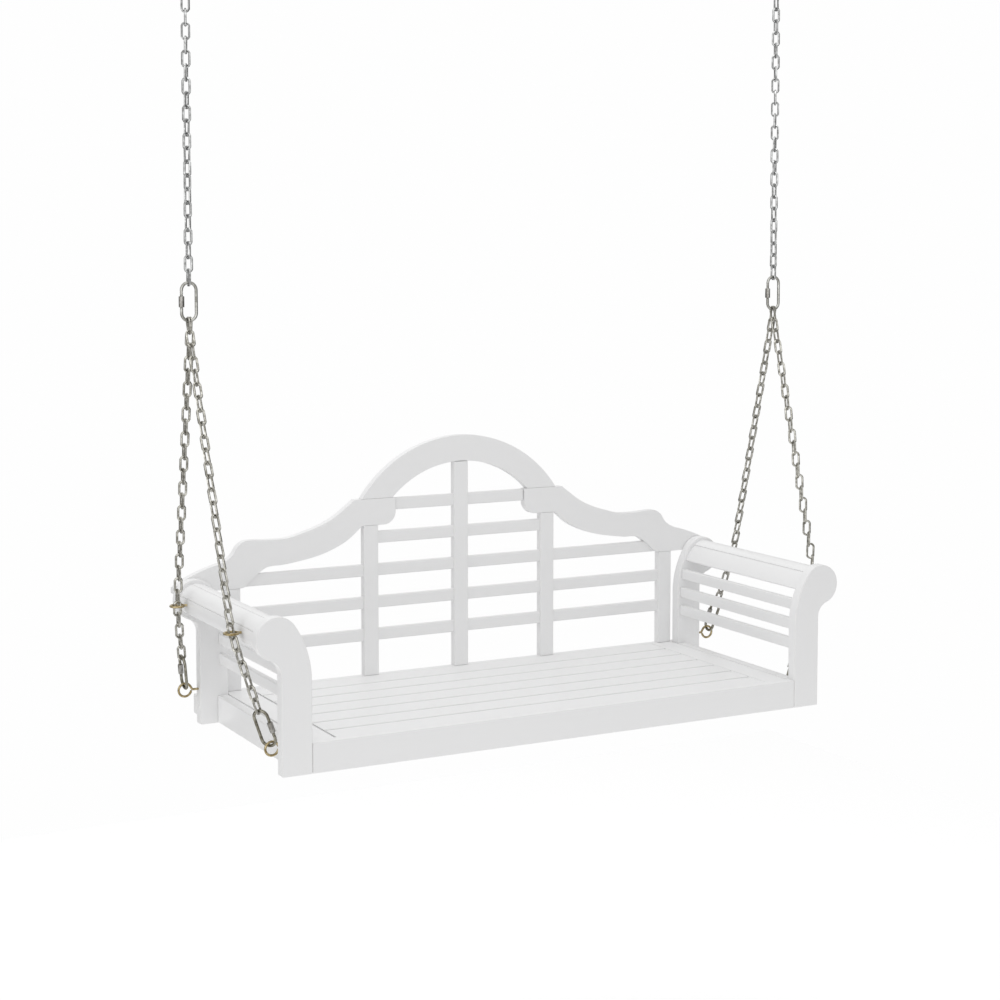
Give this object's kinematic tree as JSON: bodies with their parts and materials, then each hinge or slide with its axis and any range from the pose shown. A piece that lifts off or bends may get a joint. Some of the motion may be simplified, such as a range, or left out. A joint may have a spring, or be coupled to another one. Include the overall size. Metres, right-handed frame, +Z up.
{
  "type": "porch swing",
  "caption": "Slatted timber porch swing with scroll arms and an arched crest, hung on two chains that each split to the front and rear of an arm.",
  "frame": {"origin": "midway between the top faces of the two ceiling plates, on the line that the swing hangs from", "axes": "+X to the right as seen from in front of the bench, +Y from the front of the seat to its back, +Z up"},
  "size_m": [1.424, 0.485, 1.6166],
  "materials": {
    "white_paint": "satin",
    "zinc_steel": "satin",
    "sleeve_steel": "satin",
    "brass": "satin"
  },
  "bodies": {
    "ceiling": {"ceiling_plate_left": "zinc_steel", "ceiling_plate_right": "zinc_steel"},
    "left_top_link": {"top_link_left": "zinc_steel"},
    "right_top_link": {"top_link_right": "zinc_steel"},
    "left_chain": {"upper_chain_left": "zinc_steel"},
    "right_chain": {"upper_chain_right": "zinc_steel"},
    "left_quick_link": {"quick_link_left": "zinc_steel"},
    "right_quick_link": {"quick_link_right": "zinc_steel"},
    "left_quick_link_sleeve": {"quick_link_sleeve_left": "sleeve_steel"},
    "right_quick_link_sleeve": {"quick_link_sleeve_right": "sleeve_steel"},
    "left_front_sleeve": {"front_sleeve_left": "sleeve_steel"},
    "right_front_sleeve": {"front_sleeve_right": "sleeve_steel"},
    "left_rear_sleeve": {"rear_sleeve_left": "sleeve_steel"},
    "right_rear_sleeve": {"rear_sleeve_right": "sleeve_steel"},
    "bench": {"arm_rail_left": "white_paint", "arm_rail_right": "white_paint", "arm_rest_left": "white_paint", "arm_rest_right": "white_paint", "arm_slat_1_left": "white_paint", "arm_slat_1_right": "white_paint", "arm_slat_2_left": "white_paint", "arm_slat_2_right": "white_paint", "arm_slat_3_left": "white_paint", "arm_slat_3_right": "white_paint", "back_post_centre": "white_paint", "back_post_end_left": "white_paint", "back_post_end_right": "white_paint", "back_post_inner_left": "white_paint", "back_post_inner_right": "white_paint", "back_slat_1": "white_paint", "back_slat_2": "white_paint", "back_slat_3": "white_paint", "back_slat_4": "white_paint", "back_slat_5": "white_paint", "crest_arch": "white_paint", "crest_rail_left": "white_paint", "crest_rail_right": "white_paint", "front_link_left": "zinc_steel", "front_link_right": "zinc_steel", "front_post_left": "white_paint", "front_post_right": "white_paint", "front_rail": "white_paint", "guide_eye_front_left": "brass", "guide_eye_front_right": "brass", "guide_eye_rear_left": "brass", "guide_eye_rear_right": "brass", "load_eye_front_left": "brass", "load_eye_front_right": "brass", "load_eye_rear_left": "brass", "load_eye_rear_right": "brass", "rear_link_left": "zinc_steel", "rear_link_right": "zinc_steel", "rear_post_left": "white_paint", "rear_post_right": "white_paint", "rear_rail": "white_paint", "seat_end_left": "white_paint", "seat_end_right": "white_paint", "seat_panel": "white_paint", "v_chain_left": "zinc_steel", "v_chain_right": "zinc_steel"}
  },
  "joints": [
    {"name": "swing", "type": "hinge", "parent": "ceiling", "child": "left_top_link", "pos_m": [0, 0, -0.03], "axis": [1, 0, 0], "range_deg": [-30, 30]},
    {"name": "sway", "type": "hinge", "parent": "left_top_link", "child": "left_chain", "pos_m": [-0.672, 0, -0.0956], "axis": [0, 1, 0], "range_deg": [-8, 8]},
    {"name": "left_link_level", "type": "hinge", "parent": "left_chain", "child": "left_quick_link", "pos_m": [-0.672, 0, -0.7246], "axis": [0, 1, 0], "range_deg": [-8, 8]},
    {"name": "rock", "type": "hinge", "parent": "left_quick_link", "child": "bench", "pos_m": [0, 0, -0.7966], "axis": [1, 0, 0], "range_deg": [-10, 10]},
    {"name": "right_link_level", "type": "hinge", "parent": "bench", "child": "right_quick_link", "pos_m": [0.672, 0, -0.7966], "axis": [1, 0, 0], "range_deg": [-10, 10]},
    {"name": "right_chain_sway", "type": "hinge", "parent": "right_quick_link", "child": "right_chain", "pos_m": [0.672, 0, -0.7246], "axis": [0, 1, 0], "range_deg": [-8, 8]},
    {"name": "right_top_link_swing", "type": "hinge", "parent": "ceiling", "child": "right_top_link", "pos_m": [0.672, 0, -0.03], "axis": [1, 0, 0], "range_deg": [-30, 30]},
    {"name": "left_quick_link_sleeve_slide", "type": "slide", "parent": "left_quick_link", "child": "left_quick_link_sleeve", "axis": [0, 0, 1], "range_m": [0, 0.009]},
    {"name": "right_quick_link_sleeve_slide", "type": "slide", "parent": "right_quick_link", "child": "right_quick_link_sleeve", "axis": [0, 0, 1], "range_m": [0, 0.009]},
    {"name": "left_front_sleeve_slide", "type": "slide", "parent": "bench", "child": "left_front_sleeve", "axis": [-0.3193, 0.0213, 0.9474], "range_m": [0, 0.009]},
    {"name": "left_rear_sleeve_slide", "type": "slide", "parent": "bench", "child": "left_rear_sleeve", "axis": [-0.1656, -0.2846, 0.9442], "range_m": [0, 0.009]},
    {"name": "right_front_sleeve_slide", "type": "slide", "parent": "bench", "child": "right_front_sleeve", "axis": [0.3193, 0.0213, 0.9474], "range_m": [0, 0.009]},
    {"name": "right_rear_sleeve_slide", "type": "slide", "parent": "bench", "child": "right_rear_sleeve", "axis": [0.1656, -0.2846, 0.9442], "range_m": [0, 0.009]}
  ],
  "couplings": [
    {"joint": "left_link_level", "follows": "sway", "ratio": -1},
    {"joint": "right_chain_sway", "follows": "sway", "ratio": 1},
    {"joint": "right_link_level", "follows": "rock", "ratio": -1},
    {"joint": "right_top_link_swing", "follows": "swing", "ratio": 1}
  ]
}
